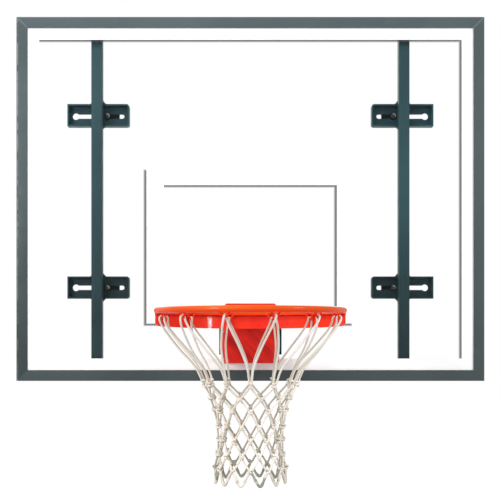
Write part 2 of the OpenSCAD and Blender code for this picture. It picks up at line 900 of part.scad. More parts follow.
module carrier() {
    far = ring_f - ring_r + 30;
    deep = -band_drop + 2;
    slot_low = -spring_drop - goal_bolt_r - 0.7;
    color([0.85, 0.12, 0.07]) at_goal() difference() {
        union() {
            translate([-neck_half, -far, neck_top - 6]) cube([2 * neck_half, far - pivot_f, 6]);
            for (side = [0, 1]) mirror([side, 0, 0])
                translate([neck_half - neck_wall, 0, 0]) rotate([90, 0, 90]) linear_extrude(neck_wall)
                    polygon([
                        [-pivot_f, neck_top], [-far, neck_top], [-far, deep], [-(far - 44), deep],
                        [-(far - 62), neck_floor], [-pivot_f, neck_floor]
                    ]);
            translate(goal(0, pivot_f, -pivot_drop)) rod_x(barrel_r, -neck_half - 1, neck_half + 1);
            translate([-arm_half, -arm_f - arm_t, arm_bottom])
                cube([2 * arm_half, arm_t, neck_top - arm_bottom]);
        }
        translate(goal(0, pivot_f, -pivot_drop)) rod_x(bush_r + 0.02, -neck_half - 5, neck_half + 5);
        for (side = [-1, 1]) translate([side * stud_x, 0, 0])
            translate([0, -arm_f + eps, 0]) plate_xz(arm_t + 2 * eps)
                translate([0, slot_low + stud_slot_r]) rotate(90) slot_outline(stud_slot_r, -stud_slot_r,
                    stud_slot_r + stud_slot_up);
        translate(goal(0, ring_f, -band_drop - 20)) cylinder(r = band_out + weld_gap, h = 100, $fn = 96);
        translate(goal(0, ring_f, 0)) bar_torus(bar_r + weld_gap);
    }
}

module pivot_bushes() {
    inner = neck_half + 1;
    color([0.75, 0.6, 0.35]) at_pivot() for (side = [0, 1]) mirror([side, 0, 0]) difference() {
        union() {
            rod_x(bush_r, inner - bush_l, inner);
            rod_x(bush_flange_r, inner, inner + bush_flange_t);
        }
        rod_x(pin_r + 0.07, inner - bush_l - eps, inner + bush_flange_t + eps);
    }
}

// Height of the net rod at an angle from the nearest hook
function rod_height(a) =
    abs(a) >= dip_half ? rod_z : rod_z - dip * (0.5 + 0.5 * cos(180 * a / dip_half));

module net_rod() {
    pitch = 360 / hooks;
    dips = [for (k = [-4:4]) dip_half * k / 4];
    flats = [for (k = [1:4]) dip_half + (pitch - 2 * dip_half) * k / 5];
    path = [for (h = [0:hooks - 1]) for (a = concat(dips, flats))
        [rod_r, pitch * (h + 0.5) + a, rod_height(a)]];
    color([0.95, 0.3, 0.08]) at_ring() tube_loop(path, rod_d / 2, 8);
}

// Net

// One leg of a cord from its hook down, as X, Y, Z: way is 1 or -1 round the ring
function leg(hook, way, inside) =
    let (pitch = 360 / hooks)
    [for (i = [0:len(cord_route) - 1])
        let (p = cord_route[i], a = pitch * (hook - 0.5) + way * pitch / 2 * p[2],
            r = p[1] - inside * cord_inside[i])
        [r * sin(a), -r * cos(a), -p[0]]];
function reversed(p) = [for (i = [len(p) - 1:-1:0]) p[i]];
function behead(p) = [for (i = [1:len(p) - 1]) p[i]];
function cord_path(hook) =
    smooth(concat(reversed(leg(hook, -1, 0)), behead(leg(hook, 1, 1))), cord_sub);

module net_cord(hook) {
    a = 360 / hooks * (hook - 0.5);
    color([0.94, 0.88, 0.83]) at_ring()
        tube_along(cord_path(hook), [cos(a), sin(a), 0], cord_d / 2, cord_sides);
}

// The hem's two ends meet at the rear
module net_hem() {
    pitch = 360 / hooks;
    turns = [for (k = [0:2 * hooks])
        let (p = hem_route[k % 2], a = 180 + pitch / 2 * k) [p[1] * sin(a), -p[1] * cos(a), -p[0]]];
    path = smooth(turns, hem_sub);
    open = [for (i = [0:len(path) - 2]) path[i]];
    color([0.85, 0.8, 0.72]) at_ring() tube_along(open, [0, 0, 1], hem_d / 2, 8);
}

glass_pane();
border_marking();
target_marking();
glazing_gasket();
frame_top_rail();
frame_bottom_rail();
frame_left_stile();
frame_right_stile();
corner_keys();
corner_screws();
left_upright();
right_upright();
upright_plugs();
upright_bolts();
upright_screws();
upright_pads();
upper_left_bracket();
upper_right_bracket();
lower_left_bracket();
lower_right_bracket();
slot_blocks();
mounting_washers();
mounting_bolts();
front_rubber_pad();
rear_rubber_pad();
rear_plate();
glass_bushings();
goal_bolts();
goal_washers();
goal_nuts();
back_plate();
front_cover();
cover_screws();
pivot_pin();
pin_clips();
stop_studs();
stop_washers();
stop_nuts();
springs();
ring();
rear_band();
carrier();
pivot_bushes();
net_rod();
net_cord(1);  // net_cord_1
net_cord(2);  // net_cord_2
net_cord(3);  // net_cord_3
net_cord(4);  // net_cord_4
net_cord(5);  // net_cord_5
net_cord(6);  // net_cord_6
net_cord(7);  // net_cord_7
net_cord(8);  // net_cord_8
net_cord(9);  // net_cord_9
net_cord(10);  // net_cord_10
net_cord(11);  // net_cord_11
net_cord(12);  // net_cord_12
net_hem();
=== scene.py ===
import math
import bpy
import numpy as np
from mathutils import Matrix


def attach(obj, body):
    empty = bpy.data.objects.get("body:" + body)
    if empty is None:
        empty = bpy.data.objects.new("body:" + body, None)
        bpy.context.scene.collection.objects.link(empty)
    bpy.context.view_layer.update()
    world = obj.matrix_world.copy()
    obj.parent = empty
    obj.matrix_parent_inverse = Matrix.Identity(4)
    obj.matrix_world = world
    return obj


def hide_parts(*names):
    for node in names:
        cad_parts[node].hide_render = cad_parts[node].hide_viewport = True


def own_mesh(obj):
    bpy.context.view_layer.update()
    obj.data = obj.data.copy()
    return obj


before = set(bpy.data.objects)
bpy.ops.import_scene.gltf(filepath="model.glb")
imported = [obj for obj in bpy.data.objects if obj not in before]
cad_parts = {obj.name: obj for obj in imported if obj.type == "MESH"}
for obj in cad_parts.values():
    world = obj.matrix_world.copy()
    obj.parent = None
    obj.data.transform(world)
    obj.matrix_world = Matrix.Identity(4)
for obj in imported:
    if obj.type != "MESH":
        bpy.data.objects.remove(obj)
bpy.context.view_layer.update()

rng = np.random.default_rng(36)
print("frame loaded:", len(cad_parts), "nodes")


def tint(red, green, blue):
    # screen colour 0..255 to linear light
    c = np.array([red, green, blue]) / 255
    return tuple(float(v) for v in np.where(c < 0.04045, c / 12.92, ((c + 0.055) / 1.055) ** 2.4)) + (1.0,)


# Camera: level, at the height of the ring's lower edge, straight in front

viewSettings = {
    "place": (0.0, -2.909, -0.390),
    "lens": 69.6,
    "shiftX": -0.0008,
    "shiftY": 0.164,
}

cameraData = bpy.data.cameras.new("camera")
cameraData.lens = viewSettings["lens"]
cameraData.sensor_width = 36
cameraData.shift_x = viewSettings["shiftX"]
cameraData.shift_y = viewSettings["shiftY"]
cameraData.clip_end = 100
camera = bpy.data.objects.new("camera", cameraData)
camera.location = viewSettings["place"]
camera.rotation_euler = (math.pi / 2, 0, 0)
bpy.context.scene.collection.objects.link(camera)
bpy.context.scene.camera = camera
print("camera set")


# Shader maths: Wire holds a socket, and arithmetic on it adds Math nodes

class Wire:
    def __init__(self, tree, socket):
        self.tree = tree
        self.socket = socket

    def maths(self, operation, other=None, swapped=False):
        node = self.tree.nodes.new("ShaderNodeMath")
        node.operation = operation
        pair = (other, self) if swapped else (self, other)
        for slot, value in zip(node.inputs, pair):
            if isinstance(value, Wire):
                self.tree.links.new(value.socket, slot)
            elif value is not None:
                slot.default_value = value
        return Wire(self.tree, node.outputs[0])

    def __add__(self, other):
        return self.maths("ADD", other)

    def __radd__(self, other):
        return self.maths("ADD", other, True)

    def __sub__(self, other):
        return self.maths("SUBTRACT", other)

    def __rsub__(self, other):
        return self.maths("SUBTRACT", other, True)

    def __mul__(self, other):
        return self.maths("MULTIPLY", other)

    def __rmul__(self, other):
        return self.maths("MULTIPLY", other, True)

    def __truediv__(self, other):
        return self.maths("DIVIDE", other)

    def size(self):
        return self.maths("ABSOLUTE")

    def sine(self):
        return self.maths("SINE")

    def root(self):
        return self.maths("SQRT")

    def above(self, other):
        return self.maths("GREATER_THAN", other)

    def below(self, other):
        return self.maths("LESS_THAN", other)

    def largest(self, other):
        return self.maths("MAXIMUM", other)

    def smallest(self, other):
        return self.maths("MINIMUM", other)


class Finish:
    # one material; node() adds any node, settings first, then values or links of its sockets
    def __init__(self, name):
        self.material = bpy.data.materials.new(name)
        self.material.use_nodes = True
        self.tree = self.material.node_tree
        self.tree.nodes.clear()
        self.outlet = self.tree.nodes.new("ShaderNodeOutputMaterial")

    def node(self, kind, settings=None, sockets=None, out=0):
        made = self.tree.nodes.new(kind)
        for key, value in (settings or {}).items():
            if key == "stops":
                ramp = made.color_ramp
                while len(ramp.elements) < len(value):
                    ramp.elements.new(0.5)
                for element, (place, colour) in zip(ramp.elements, value):
                    element.position = place
                    element.color = colour
            else:
                setattr(made, key, value)
        for key, value in (sockets or {}).items():
            slot = made.inputs[key]
            if isinstance(value, Wire):
                self.tree.links.new(value.socket, slot)
            else:
                slot.default_value = value
        return Wire(self.tree, made.outputs[out])

    def place(self):
        return self.node("ShaderNodeTexCoord", out=3)

    def along(self):
        return self.node("ShaderNodeTexCoord", out=2)

    def parts(self, vector):
        made = self.tree.nodes.new("ShaderNodeSeparateXYZ")
        self.tree.links.new(vector.socket, made.inputs[0])
        return [Wire(self.tree, socket) for socket in made.outputs]

    def noise(self, scale, detail=3.0, rough=0.5, at=None, stretch=None):
        vector = at or self.place()
        if stretch:
            vector = self.node("ShaderNodeVectorMath", {"operation": "MULTIPLY"}, {0: vector, 1: stretch})
        return self.node("ShaderNodeTexNoise", None,
                         {"Vector": vector, "Scale": scale, "Detail": detail, "Roughness": rough})

    def ease(self, value, low, high, a=0.0, b=1.0):
        return self.node("ShaderNodeMapRange", {"interpolation_type": "SMOOTHSTEP"},
                         {"Value": value, "From Min": low, "From Max": high, "To Min": a, "To Max": b})

    def colours(self, share, a, b, way="MIX"):
        return self.node("ShaderNodeMix", {"data_type": "RGBA", "blend_type": way}, {0: share, 6: a, 7: b}, out=2)

    def bump(self, height, distance, strength=1.0, under=None):
        sockets = {"Height": height, "Distance": distance, "Strength": strength}
        if under:
            sockets["Normal"] = under
        return self.node("ShaderNodeBump", None, sockets)

    def finish(self, **sockets):
        names = {key: key.replace("_", " ") for key in sockets}
        shader = self.node("ShaderNodeBsdfPrincipled", None, {names[key]: value for key, value in sockets.items()})
        self.tree.links.new(shader.socket, self.outlet.inputs[0])
        return self.material


# Mesh making: a surface is an array of points on a grid of two parameters

def layMesh(name, points, faces, material, body, replaced=(), uv=None, sharp=35):
    points = np.asarray(points, dtype=np.float64)
    faces = [np.asarray(f, dtype=np.int64) for f in faces if len(f)]
    solid = sum(float(np.einsum("ij,ij->i", points[f[:, 0]], np.cross(points[f[:, k]], points[f[:, k + 1]])).sum())
                for f in faces for k in range(1, f.shape[1] - 1))
    if solid < 0:
        faces = [f[:, ::-1] for f in faces]  # faces outwards
    loops = np.concatenate([f.ravel() for f in faces])
    counts = np.concatenate([np.full(len(f), f.shape[1]) for f in faces])
    starts = np.concatenate([[0], np.cumsum(counts)[:-1]])
    mesh = bpy.data.meshes.new(name)
    mesh.vertices.add(len(points))
    mesh.vertices.foreach_set("co", points.astype(np.float32).ravel())
    mesh.loops.add(len(loops))
    mesh.loops.foreach_set("vertex_index", loops.astype(np.int32))
    mesh.polygons.add(len(counts))
    mesh.polygons.foreach_set("loop_start", starts.astype(np.int32))
    mesh.polygons.foreach_set("use_smooth", np.ones(len(counts), dtype=bool))
    mesh.update(calc_edges=True)
    mesh.validate()
    if sharp < 180:
        mesh.set_sharp_from_angle(angle=math.radians(sharp))
    if uv is not None:
        layer = mesh.uv_layers.new(name="along")
        index = np.empty(len(mesh.loops), dtype=np.int32)
        mesh.loops.foreach_get("vertex_index", index)
        layer.data.foreach_set("uv", np.asarray(uv, dtype=np.float32)[index].ravel())
    mesh.materials.append(material)
    piece = bpy.data.objects.new(name, mesh)
    bpy.context.scene.collection.objects.link(piece)
    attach(piece, body)
    if replaced:
        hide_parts(*replaced)
    return piece


def gridFaces(rows, columns, closedRows, closedColumns, start=0):
    # quads between neighbouring rows and columns, wrapping where a direction is closed
    i, j = np.meshgrid(np.arange(rows if closedRows else rows - 1),
                       np.arange(columns if closedColumns else columns - 1), indexing="ij")
    i, j = i.ravel(), j.ravel()
    i2, j2 = (i + 1) % rows, (j + 1) % columns
    return np.stack([i * columns + j, i * columns + j2, i2 * columns + j2, i2 * columns + j], axis=1) + start


def fans(rows, columns, points, start=0):
    # closes both ends of a tube with a middle point and triangles
    middle = np.array([points[0].mean(axis=0), points[-1].mean(axis=0)])
    j = np.arange(columns)
    j2 = (j + 1) % columns
    base = start + rows * columns
    first = np.stack([np.full(columns, base), j2 + start, j + start], axis=1)
    last = start + (rows - 1) * columns
    end = np.stack([np.full(columns, base + 1), last + j, last + j2], axis=1)
    return middle, np.concatenate([first, end])


def unit(vectors):
    return vectors / np.linalg.norm(vectors, axis=-1, keepdims=True)


def tubeGrid(line, side, radius, sides, closed=False):
    # line of points; each ring turns round the line's direction, starting from the fixed side;
    # radius is a number or an array of one value per ring and per side
    step = np.roll(line, -1, axis=0) - np.roll(line, 1, axis=0)
    if not closed:
        step[0], step[-1] = line[1] - line[0], line[-1] - line[-2]
    ahead = unit(step)
    a = unit(np.cross(ahead, np.broadcast_to(side, ahead.shape)))
    b = np.cross(ahead, a)
    turn = np.linspace(0, 2 * np.pi, sides, endpoint=False)
    r = np.broadcast_to(radius, (len(line), sides))[..., None]
    return line[:, None] + r * (a[:, None] * np.cos(turn)[None, :, None] + b[:, None] * np.sin(turn)[None, :, None])


def tubeMesh(grids, closed=False):
    # joins several tubes into one list of points and faces
    points, quads, tris, start = [], [], [], 0
    for grid in grids:
        rows, columns = grid.shape[:2]
        points.append(grid.reshape(-1, 3))
        quads.append(gridFaces(rows, columns, closed, True, start))
        if closed:
            start += rows * columns
        else:
            middle, caps = fans(rows, columns, grid, start)
            points.append(middle)
            tris.append(caps)
            start += rows * columns + 2
    return np.concatenate(points), [np.concatenate(quads), np.concatenate(tris) if tris else []]


def smoothLine(points, cuts):
    # curve through the points: each stretch is a cubic set by the points on both sides of it
    p = np.vstack([points[:1], points, points[-1:]])
    a, b, c, d = p[:-3, None], p[1:-2, None], p[2:-1, None], p[3:, None]
    u = (np.arange(cuts) / cuts)[None, :, None]
    curve = 0.5 * (2 * b + (c - a) * u + (2 * a - 5 * b + 4 * c - d) * u ** 2 + (3 * b - a - 3 * c + d) * u ** 3)
    return np.vstack([curve.reshape(-1, 3), points[-1:]])


def evenLine(points, spacing):
    # the same line with points at an even distance
    reach = np.concatenate([[0], np.cumsum(np.linalg.norm(np.diff(points, axis=0), axis=1))])
    count = int(round(reach[-1] / spacing)) + 1
    even = np.linspace(0, reach[-1], count)
    return np.stack([np.interp(even, reach, points[:, k]) for k in range(3)], axis=1), even


# Places that the pieces share, in metres, as in the construction

hoop = {
    "centre": np.array([0.0, -0.4526, -0.3284]),  # middle of the ring, at the height of its top
    "radius": 0.23654,
    "bar": 0.00794,
    "hooks": 12,
}


def aroundHoop(radius, degrees, depth):
    # radius, angle from the front and depth below the ring's top to a point
    turn = np.radians(degrees)
    return hoop["centre"] + np.stack([radius * np.sin(turn), -radius * np.cos(turn), -depth], axis=-1)


# Net

cord = {
    "diameter": 0.0055,
    "sides": 12,
    "spacing": 0.0021,
    "braid": 0.0085,  # length of one turn of the braid
    "relief": 0.055,
    # depth below the ring's top in mm, radius in mm, half steps between two hooks
    "route": np.array([
        [21.6, 227.5, 0], [23.9, 231.9, 0.005], [28, 233.1, 0.02], [38, 230, 0.07], [60, 216, 0.2],
        [105, 180, 0.5], [150, 140, 0.8], [193, 119, 1], [228, 103, 2], [259, 92, 3],
        [299, 86, 4], [334, 82, 5], [372, 85, 6], [404, 90.6, 6.87]]),
    "inside": np.array([0, 8.9, 11.2, 9.5, 6, 6, 6, 6, 6, 6, 6, 6, 6, 6]),
}
hem = {
    "diameter": 0.0085,
    "sides": 16,
    "spacing": 0.0022,
    "lay": 0.052,  # length of one turn of the two strands
    "route": np.array([[407.3, 88.4], [441, 91]]),
}
pitch = 360 / hoop["hooks"]


def cordLine(hook):
    depth, radius, steps = cord["route"].T / 1000
    steps = steps * 1000
    middle = pitch * (hook - 0.5)
    left = aroundHoop(radius, middle - pitch / 2 * steps, depth)
    right = aroundHoop(radius - cord["inside"] / 1000, middle + pitch / 2 * steps, depth)
    return smoothLine(np.vstack([left[::-1], right[1:]]), 10), middle


def braided(even, sides, radius):
    # radius rises and falls where two sets of strands cross: product of two slanted waves
    turn = np.linspace(0, 2 * np.pi, sides, endpoint=False)[None]
    s = 2 * np.pi * even[:, None] / cord["braid"]
    return radius * (1 - cord["relief"] / 2 + cord["relief"] / 2 * np.cos(s + 2 * turn) * np.cos(s - 2 * turn))


def cordFinish(name, fresh, stained, shade, inner):
    f = Finish(name)
    # level direction from the net's middle line, and how much a point of the cord faces that way
    away = f.node("ShaderNodeVectorMath", {"operation": "SUBTRACT"}, {0: f.place(), 1: tuple(hoop["centre"])})
    level = f.node("ShaderNodeVectorMath", {"operation": "MULTIPLY"}, {0: away, 1: (1, 1, 0)})
    outward = f.node("ShaderNodeVectorMath", {"operation": "NORMALIZE"}, {0: level})
    normal = f.node("ShaderNodeNewGeometry", out=1)
    paintedShadeFacing = f.node("ShaderNodeVectorMath", {"operation": "DOT_PRODUCT"}, {0: outward, 1: normal}, out=1)
    u, v, _ = f.parts(f.along())
    wave = 2 * math.pi / cord["braid"]
    strands = ((u * wave + v * (4 * math.pi)).sine() * (u * wave - v * (4 * math.pi)).sine()) * 0.5 + 0.5
    x, y, z = f.parts(f.place())
    patch = f.noise(14, 2, 0.5)
    dirt = f.noise(70, 4, 0.6)
    low = f.ease(z, -0.66, -0.76)
    blotch = f.ease(patch * 0.7 + dirt * 0.3 + low * 0.05, 0.585, 0.66)
    base = f.colours(f.ease(f.noise(9, 2), 0.35, 0.65), fresh, shade)
    base = f.colours(f.ease(paintedShadeFacing, 0.25, -0.5), base, inner)  # painted shade: the side of each cord that faces the net's inside is greyer, so the rear cords seen through the front look shaded
    base = f.colours(blotch * (low * 0.8 + 0.05), base, stained)
    # painted shade in the crevices between the braid's strands
    base = f.colours(strands * 0.10, base, shade)
    fuzz = f.noise(1500, 2)
    return f.finish(Base_Color=base, Roughness=0.8, Specular_IOR_Level=0.25, Sheen_Weight=0.1, Sheen_Roughness=0.5,
                    Normal=f.bump(strands * 0.8 + fuzz * 0.35, 0.0004, 0.6))


# the last colour of each finish is the painted shade of the cords' inner sides
cordPaint = cordFinish("creamCord", tint(250, 245, 237), tint(140, 142, 128), tint(234, 225, 211), tint(186, 178, 164))
hemPaint = cordFinish("hemCord", tint(242, 235, 225), tint(118, 130, 120), tint(226, 216, 202), tint(170, 166, 152))

cordReach = []
for hook in range(1, hoop["hooks"] + 1):
    line, middle = cordLine(hook)
    line, even = evenLine(line, cord["spacing"])
    side = np.array([math.cos(math.radians(middle)), math.sin(math.radians(middle)), 0])
    grid = tubeGrid(line, side, braided(even, cord["sides"], cord["diameter"] / 2), cord["sides"])
    points, faces = tubeMesh([grid])
    turn = np.tile(np.linspace(0, 1, cord["sides"], endpoint=False), len(line))
    uv = np.vstack([np.stack([np.repeat(even, cord["sides"]), turn], axis=1), [[0, 0], [even[-1], 0]]])
    piece = layMesh("netCord%02d" % hook, points, faces, cordPaint, "ring_body",
                    ["net_cord_%d" % hook], uv, 180)
    cordReach.append(float(even[-1]))


def hemLine():
    k = np.arange(2 * hoop["hooks"] + 1)
    depth, radius = hem["route"][k % 2].T / 1000
    return smoothLine(aroundHoop(radius, 180 + pitch / 2 * k, depth), 16)[:-6]


line, even = evenLine(hemLine(), hem["spacing"])
turn = np.linspace(0, 2 * np.pi, hem["sides"], endpoint=False)[None]
lay = 2 * np.pi * even[:, None] / hem["lay"]
# two strands laid together: the ring is long one way and pinched the other, and turns along the line
radius = hem["diameter"] / 2 * (0.87 + 0.13 * np.cos(2 * turn - 2 * lay))
radius = radius * (1 + 0.02 * np.cos(2 * np.pi * even[:, None] / 0.007 + 3 * turn))
grid = tubeGrid(line, np.array([0, 0, 1.0]), radius, hem["sides"])
points, faces = tubeMesh([grid])
around = np.tile(np.linspace(0, 1, hem["sides"], endpoint=False), len(line))
uv = np.vstack([np.stack([np.repeat(even, hem["sides"]), around], axis=1), [[0, 0], [even[-1], 0]]])
hemPiece = layMesh("netHem", points, faces, hemPaint, "ring_body", ["net_hem"], uv, 180)
print("cords laid:", round(cordReach[0], 3), "m each, hem", round(float(even[-1]), 3), "m")

knot = {
    "tube": 0.0027,
    "wide": 0.0046,
    "deep": 0.0066,
    "tilt": 32,
    "sides": 8,
    "turns": 16,
}


def knotLoop(radius, degrees, depth, lean, grow):
    # an oval ring round both cords: wide along the net, deep through it, and leaning to one side
    out = aroundHoop(np.array(1.0), np.array(degrees), np.array(0.0)) - hoop["centre"]
    across = np.array([-out[1], out[0], 0])
    tilt = math.radians(lean)
    flat = across * math.cos(tilt) + np.array([0, 0, math.sin(tilt)])
    centre = aroundHoop(np.array(radius), np.array(degrees), np.array(depth))
    t = np.linspace(0, 2 * np.pi, knot["turns"], endpoint=False)[:, None]
    line = centre + grow * (knot["wide"] * np.cos(t) * flat + knot["deep"] * np.sin(t) * out)
    axis = np.cross(flat, out)
    return tubeGrid(line, axis, knot["tube"] * grow, knot["sides"], True)


loops = []
for row in range(1, 8):
    depth, radius = (np.interp(row, cord["route"][:, 2], cord["route"][:, k]) / 1000 for k in (0, 1))
    if row == 7:
        depth, radius = 0.4045, 0.0905
    for place in range(hoop["hooks"]):
        degrees = pitch * (place - 0.5) + pitch / 2 * row
        lean = knot["tilt"] * (1 if (place + row) % 2 else -1) + rng.normal(0, 7)
        grow = 1 + rng.normal(0, 0.08)
        down = 0.004 if row == 1 else 0.0012
        loops.append(knotLoop(radius - 0.003, degrees, depth + down, lean, grow))
        up = 0.007 if row == 1 else 0.0024 + abs(rng.normal(0, 0.0012))
        loops.append(knotLoop(radius - 0.001, degrees, depth - up, -lean, grow * (1 if row == 1 else 0.92)))
points, faces = tubeMesh(loops, True)
layMesh("netKnots", points, faces, cordPaint, "ring_body", sharp=180,
        uv=np.stack([points[:, 2], np.arctan2(points[:, 0], points[:, 1])], axis=1))
print("knots tied:", len(loops))


# Finishes

def powderCoat(name, colour, dark, light, rough=0.42, grain=0.00004, wear=0.0, highlightColour=None, low=1.0):
    f = Finish(name)
    cloud = f.noise(3.2, 3, 0.55)
    base = f.colours(f.ease(cloud, 0.35, 0.68), dark, colour)
    base = f.colours(f.ease(f.noise(11, 4, 0.6), 0.58, 0.8) * 0.5, base, light)
    if wear:
        scuff = f.ease(f.noise(46, 6, 0.7, stretch=(1, 1, 0.35)), 0.66, 0.74) * wear
        base = f.colours(scuff, base, light)
    if highlightColour:
        # frame: painted highlight, a light line along both sides of the upper mitres and a broken light line along the
        # front of the left outer edge
        x, y, z = f.parts(f.place())
        seam = (x.size() - z - (0.6858 - 0.5334)).size()
        lines = f.ease(seam, 0.0006, 0.0014) * f.ease(seam, 0.0032, 0.0022)
        edge = f.ease((x + 0.6822).size(), 0.0016, 0.0007) * f.ease(f.noise(30, 4, 0.7), 0.44, 0.56)
        base = f.colours((lines * 0.4).largest(edge * 0.75 * y.below(-0.07)), base, highlightColour)
    height = f.parts(f.place())[2]
    base = f.colours(f.ease(height, 0.12, -0.5), base, (low, low, low, 1), "MULTIPLY")  # painted shade: darker towards the bottom of the board
    peel = f.noise(420, 2, 0.5)
    spread = f.ease(f.noise(24, 3), 0.3, 0.7, rough - 0.06, rough + 0.08)
    return f.finish(Base_Color=base, Roughness=spread, Specular_IOR_Level=0.14, Normal=f.bump(peel, grain, 0.6))


def glossCoat(name, colour, dark, rough=0.3, coat=0.1, patch=7.0, under=None, paintedStreaks=False):
    f = Finish(name)
    x, y, z = f.parts(f.place())
    at = None
    if paintedStreaks:
        # painted reflection and shade in streaks that fall to the right: quick change along x + z, slow change along x
        # - z
        at = f.node("ShaderNodeCombineXYZ", None, {0: (x + z + 0.035) * 3.2, 1: y, 2: (x - z) * 0.5})
    base = f.colours(f.ease(f.noise(patch, 3, 0.6, at), 0.30, 0.72), dark, colour)
    shine = coat
    # painted shade: below the tube's middle the colour turns to the redder under colour, and the coat is thinner there
    if under:
        low = f.ease(z, -0.3362, -0.3436)
        base = f.colours(low, base, under)
        shine = low * (-0.8 * coat) + coat
    peel = f.noise(240, 2, 0.5)
    runs = f.noise(30, 2, 0.5)
    spread = f.ease(f.noise(60, 4, 0.6), 0.35, 0.75, rough, rough + 0.12)
    return f.finish(Base_Color=base, Roughness=spread, Specular_IOR_Level=0.08, Coat_Weight=shine,
                    Coat_Roughness=0.06, Normal=f.bump(peel * 0.5 + runs, 0.00006, 0.5))


def zincSteel(name, colour=(0.55, 0.56, 0.57, 1), rough=0.34):
    f = Finish(name)
    spangle = f.node("ShaderNodeTexVoronoi", None, {"Vector": f.place(), "Scale": 420.0}, out=0)
    base = f.colours(f.ease(spangle, 0.1, 0.7) * 0.4, colour, (0.36, 0.37, 0.37, 1))
    lines = f.noise(900, 2, 0.5, stretch=(1, 0.05, 1))
    return f.finish(Base_Color=base, Roughness=f.ease(f.noise(180, 3), 0.3, 0.7, rough - 0.08, rough + 0.1),
                    Metallic=1.0, Normal=f.bump(lines, 0.00003, 0.6))


def dullPlastic(name, colour, other, rough=0.55, grain=0.00008, shine=0.1):
    f = Finish(name)
    base = f.colours(f.ease(f.noise(70, 3), 0.35, 0.7), colour, other)
    return f.finish(Base_Color=base, Roughness=f.ease(f.noise(150, 2), 0.3, 0.7, rough - 0.08, rough + 0.1),
                    Specular_IOR_Level=shine, Normal=f.bump(f.noise(1300, 3, 0.6), grain, 0.7))


paintedEdgeLight = tint(150, 160, 160)
# painted light and shade: the frame is one powder coat, given a lit or shaded tint for each side
frameTopShading = powderCoat("frameCoatTopShading", tint(81, 94, 97), tint(76, 88, 91), tint(87, 100, 102), highlightColour=paintedEdgeLight)
frameLowShading = powderCoat("frameCoatLowShading", tint(73, 83, 84), tint(68, 77, 78), tint(79, 89, 90), highlightColour=paintedEdgeLight, low=0.95)
frameLeftShading = powderCoat("frameCoatLeftShading", tint(80, 92, 94), tint(72, 83, 85), tint(88, 100, 101), highlightColour=paintedEdgeLight, low=0.52)
frameRightShading = powderCoat("frameCoatRightShading", tint(80, 90, 91), tint(74, 84, 85), tint(88, 98, 99), highlightColour=paintedEdgeLight, low=0.8)
tealCoat = powderCoat("tealCoat", tint(42, 73, 78), tint(34, 62, 67), tint(50, 82, 87), wear=0.15, low=0.5)
bracketCoat = powderCoat("bracketCoat", tint(28, 69, 76), tint(22, 59, 66), tint(40, 80, 87), wear=0.15, low=0.35)
orangeGloss = glossCoat("orangeGloss", tint(228, 92, 10), tint(222, 70, 8), patch=4.0, under=tint(250, 48, 10), coat=0.22)
redGloss = glossCoat("redGloss", tint(255, 66, 38), tint(242, 44, 30))
plateGloss = glossCoat("plateGloss", tint(230, 62, 28), tint(220, 48, 24))
coverGloss = glossCoat("coverGloss", tint(252, 48, 34), tint(178, 28, 28), patch=7.0, paintedStreaks=True)
seamCoat = glossCoat("seamCoat", tint(232, 44, 28), tint(62, 8, 6), patch=60.0)
steel = zincSteel("zincSteel")
darkSteel = zincSteel("springSteel", (0.10, 0.10, 0.11, 1), 0.4)
castKey = zincSteel("castKey", (0.62, 0.62, 0.63, 1), 0.5)
bronze = zincSteel("bronze", (0.55, 0.36, 0.16, 1), 0.36)
blackRubber = dullPlastic("blackRubber", (0.018, 0.018, 0.019, 1), (0.03, 0.03, 0.031, 1), 0.7)
blackPlastic = dullPlastic("blackPlastic", (0.002, 0.002, 0.002, 1), (0.004, 0.004, 0.004, 1), 0.5, shine=0.03)
nylon = dullPlastic("nylon", (0.80, 0.79, 0.74, 1), (0.70, 0.69, 0.63, 1), 0.45, shine=0.4)


def boltFinish():
    # black bolt with a painted highlight: a bright crescent on the head's rim, by the distance from each bolt's line,
    # strongest up and to the right
    f = Finish("boltBlack")
    x, y, z = f.parts(f.place())
    dx = (x.size() - 0.428625) * (x.above(0.0) * 2 - 1)
    dz = (z.size() - 0.257175) * (z.above(0.0) * 2 - 1)
    away = (dx * dx + dz * dz).root()
    rim = f.ease(away, 0.0040, 0.0052) * f.ease(away, 0.0074, 0.0066) * y.below(-0.0135)
    rimHighlight = rim * f.ease((dx + dz) / away.largest(0.0001), -0.1, 1.0)
    base = f.colours(f.ease(f.noise(70, 3), 0.35, 0.7), (0.010, 0.016, 0.018, 1), (0.020, 0.028, 0.030, 1))
    base = f.colours(rimHighlight, base, (0.42, 0.47, 0.47, 1))
    return f.finish(Base_Color=base, Roughness=f.ease(f.noise(150, 2), 0.3, 0.7, 0.22, 0.38),
                    Specular_IOR_Level=0.5, Normal=f.bump(f.noise(1300, 3, 0.6), 0.00002, 0.7))


boltBlack = boltFinish()


def lineFilm():
    # fired-on white: nearly even, with the faint mottle of screen printing
    f = Finish("whiteLines")
    base = f.colours(f.ease(f.noise(16, 4, 0.6), 0.3, 0.7), (0.99, 0.99, 0.99, 1), (0.965, 0.967, 0.97, 1))
    return f.finish(Base_Color=base, Roughness=f.ease(f.noise(55, 3), 0.3, 0.7, 0.42, 0.55),
                    Normal=f.bump(f.noise(800, 2), 0.00003, 0.6))


